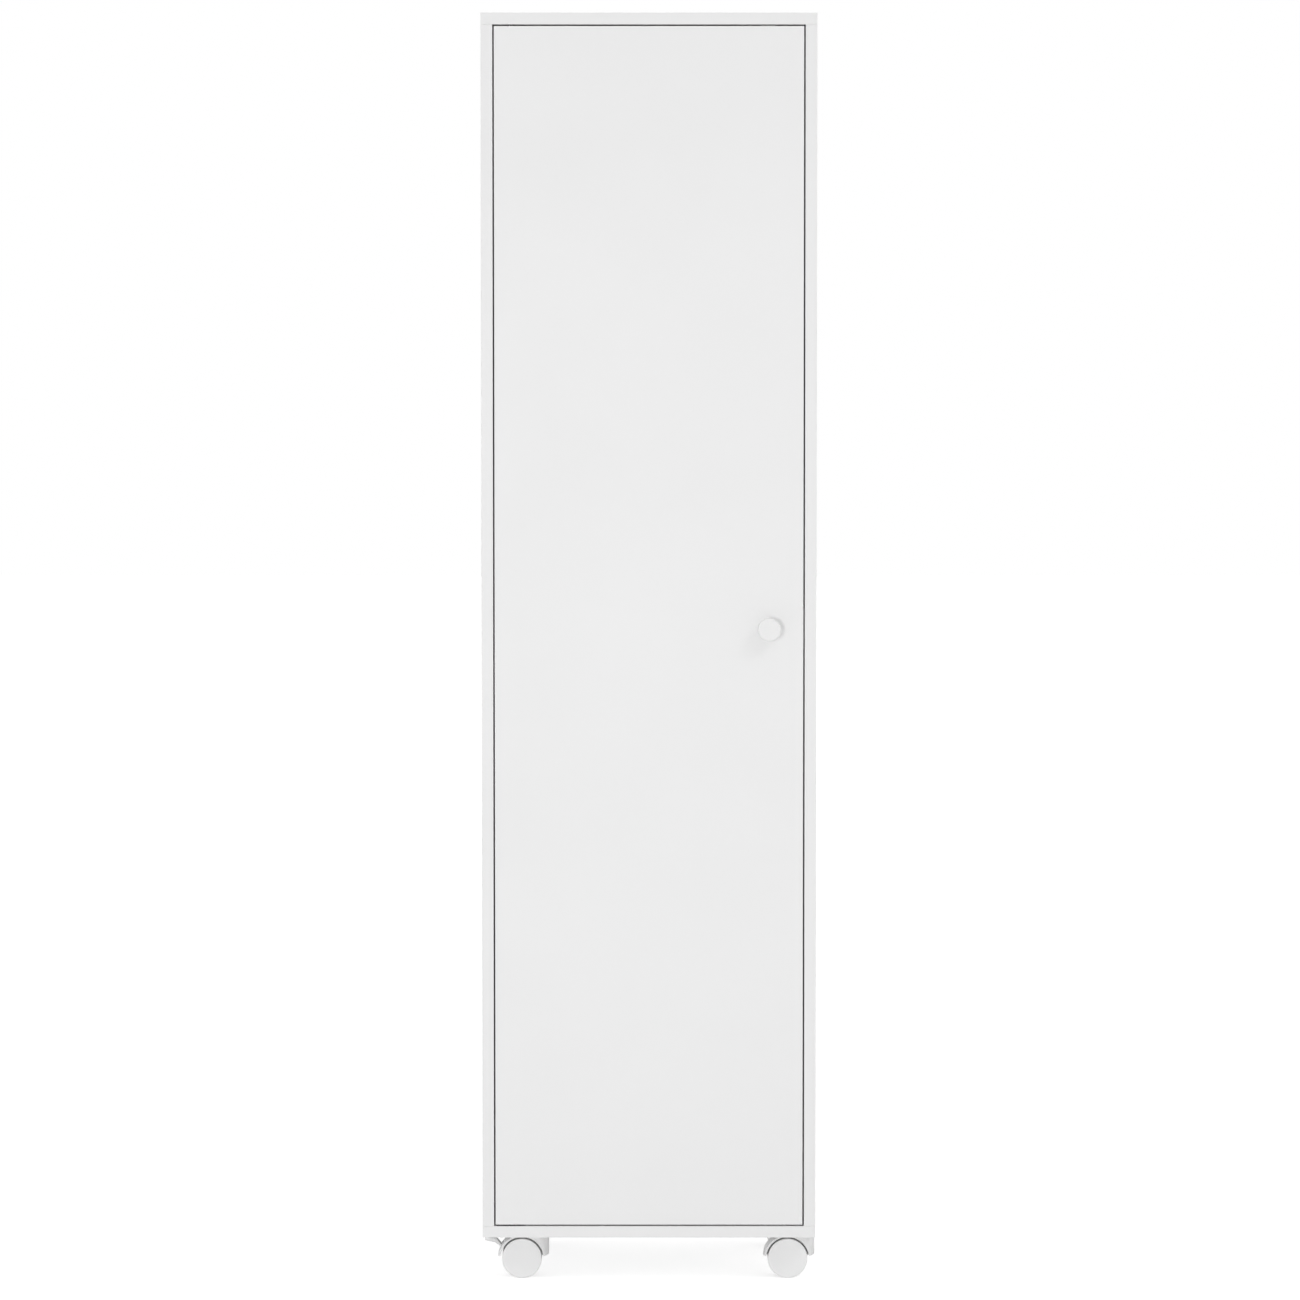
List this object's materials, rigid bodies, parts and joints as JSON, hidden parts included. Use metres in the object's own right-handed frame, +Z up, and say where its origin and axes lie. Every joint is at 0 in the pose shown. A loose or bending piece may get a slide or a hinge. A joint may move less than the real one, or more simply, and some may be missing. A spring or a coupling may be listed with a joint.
{
  "type": "broom cupboard",
  "caption": "Tall narrow white cupboard on twin-wheel castors, with one flush inset door on hidden pivots, a small round knob, an upper shelf and a hook rail inside.",
  "frame": {"origin": "on the floor, under the middle of the whole object's box, knob included", "axes": "+Z up, the door faces -Y, +X to the right seen from the front"},
  "size_m": [0.46, 0.404, 1.7475],
  "materials": {
    "white_lacquer": "satin white lacquer on board",
    "white_hardboard": "matt white painted hardboard",
    "white_knob": "satin white lacquer, turned",
    "beech": "bare turned beech",
    "zinc_plated": "bright zinc plate",
    "bright_steel": "ground steel",
    "brass_bush": "turned brass",
    "white_nylon": "moulded white nylon",
    "grey_acetal": "self-lubricating grey acetal",
    "ferrite": "dark sintered magnet",
    "clear_rubber": "translucent soft rubber",
    "white_enamel": "white powder coat",
    "castor_plastic": "moulded white plastic",
    "wheel_plastic": "moulded white nylon wheel"
  },
  "bodies": {
    "carcass": {"back_panel": "white_hardboard", "bottom_board": "white_lacquer", "bottom_pivot_pin": "bright_steel", "bottom_pivot_plate": "zinc_plated", "broom_hooks": "zinc_plated", "cam_locks": "zinc_plated", "castor_plate_front_left": "white_enamel", "castor_plate_front_right": "white_enamel", "castor_plate_rear_left": "white_enamel", "castor_plate_rear_right": "white_enamel", "castor_screws": "zinc_plated", "catch_housing": "white_nylon", "catch_magnet": "ferrite", "catch_screws": "zinc_plated", "connecting_bolts": "zinc_plated", "door_buffers": "clear_rubber", "door_stops": "white_nylon", "dowels": "beech", "hook_rail": "white_lacquer", "kingpin_front_left": "bright_steel", "kingpin_front_right": "bright_steel", "kingpin_rear_left": "bright_steel", "kingpin_rear_right": "bright_steel", "left_side": "white_lacquer", "pivot_screws": "zinc_plated", "right_side": "white_lacquer", "shelf_pegs": "zinc_plated", "stop_screws": "zinc_plated", "thrust_washer": "grey_acetal", "top_board": "white_lacquer", "top_pivot_pin": "bright_steel", "top_pivot_plate": "zinc_plated", "upper_shelf": "white_lacquer"},
    "door": {"door": "white_lacquer", "knob": "white_knob", "knob_screw": "zinc_plated", "strike_plate": "zinc_plated", "strike_screws": "zinc_plated", "top_pivot_bush": "brass_bush", "bottom_pivot_bush": "brass_bush"},
    "castor_front_left": {"castor_hood_front_left": "castor_plastic", "castor_axle_front_left": "bright_steel"},
    "wheel_front_left_near": {"wheel_front_left_near": "wheel_plastic"},
    "wheel_front_left_far": {"wheel_front_left_far": "wheel_plastic"},
    "lever_front_left": {"brake_lever_front_left": "castor_plastic"},
    "castor_front_right": {"castor_hood_front_right": "castor_plastic", "castor_axle_front_right": "bright_steel"},
    "wheel_front_right_near": {"wheel_front_right_near": "wheel_plastic"},
    "wheel_front_right_far": {"wheel_front_right_far": "wheel_plastic"},
    "castor_rear_left": {"castor_hood_rear_left": "castor_plastic", "castor_axle_rear_left": "bright_steel"},
    "wheel_rear_left_near": {"wheel_rear_left_near": "wheel_plastic"},
    "wheel_rear_left_far": {"wheel_rear_left_far": "wheel_plastic"},
    "castor_rear_right": {"castor_hood_rear_right": "castor_plastic", "castor_axle_rear_right": "bright_steel"},
    "wheel_rear_right_near": {"wheel_rear_right_near": "wheel_plastic"},
    "wheel_rear_right_far": {"wheel_rear_right_far": "wheel_plastic"},
    "lever_rear_right": {"brake_lever_rear_right": "castor_plastic"}
  },
  "joints": [
    {"name": "door_swing", "type": "hinge", "parent": "carcass", "child": "door", "pos_m": [-0.19, -0.171, 0.905], "axis": [0, 0, -1], "range_deg": [0, 110]},
    {"name": "castor_front_left_swivel", "type": "hinge", "parent": "carcass", "child": "castor_front_left", "pos_m": [-0.1845, -0.119, 0.055], "axis": [0, 0, 1], "continuous": true},
    {"name": "wheel_front_left_near_spin", "type": "hinge", "parent": "castor_front_left", "child": "wheel_front_left_near", "pos_m": [-0.1765, -0.134, 0.0275], "axis": [0, 1, 0], "continuous": true},
    {"name": "wheel_front_left_far_spin", "type": "hinge", "parent": "castor_front_left", "child": "wheel_front_left_far", "pos_m": [-0.1765, -0.104, 0.0275], "axis": [0, 1, 0], "continuous": true},
    {"name": "brake_front_left_press", "type": "hinge", "parent": "castor_front_left", "child": "lever_front_left", "pos_m": [-0.20361, -0.119, 0.04315], "axis": [0, -1, 0], "range_deg": [0, 10]},
    {"name": "castor_front_right_swivel", "type": "hinge", "parent": "carcass", "child": "castor_front_right", "pos_m": [0.1845, -0.119, 0.055], "axis": [0, 0, 1], "continuous": true},
    {"name": "wheel_front_right_near_spin", "type": "hinge", "parent": "castor_front_right", "child": "wheel_front_right_near", "pos_m": [0.1925, -0.134, 0.0275], "axis": [0, 1, 0], "continuous": true},
    {"name": "wheel_front_right_far_spin", "type": "hinge", "parent": "castor_front_right", "child": "wheel_front_right_far", "pos_m": [0.1925, -0.104, 0.0275], "axis": [0, 1, 0], "continuous": true},
    {"name": "castor_rear_left_swivel", "type": "hinge", "parent": "carcass", "child": "castor_rear_left", "pos_m": [-0.1845, 0.143, 0.055], "axis": [0, 0, 1], "continuous": true},
    {"name": "wheel_rear_left_near_spin", "type": "hinge", "parent": "castor_rear_left", "child": "wheel_rear_left_near", "pos_m": [-0.1765, 0.128, 0.0275], "axis": [0, 1, 0], "continuous": true},
    {"name": "wheel_rear_left_far_spin", "type": "hinge", "parent": "castor_rear_left", "child": "wheel_rear_left_far", "pos_m": [-0.1765, 0.158, 0.0275], "axis": [0, 1, 0], "continuous": true},
    {"name": "castor_rear_right_swivel", "type": "hinge", "parent": "carcass", "child": "castor_rear_right", "pos_m": [0.1845, 0.143, 0.055], "axis": [0, 0, 1], "continuous": true},
    {"name": "wheel_rear_right_near_spin", "type": "hinge", "parent": "castor_rear_right", "child": "wheel_rear_right_near", "pos_m": [0.1925, 0.128, 0.0275], "axis": [0, 1, 0], "continuous": true},
    {"name": "wheel_rear_right_far_spin", "type": "hinge", "parent": "castor_rear_right", "child": "wheel_rear_right_far", "pos_m": [0.1925, 0.158, 0.0275], "axis": [0, 1, 0], "continuous": true},
    {"name": "brake_rear_right_press", "type": "hinge", "parent": "castor_rear_right", "child": "lever_rear_right", "pos_m": [0.16539, 0.143, 0.04315], "axis": [0, -1, 0], "range_deg": [0, 10]}
  ]
}
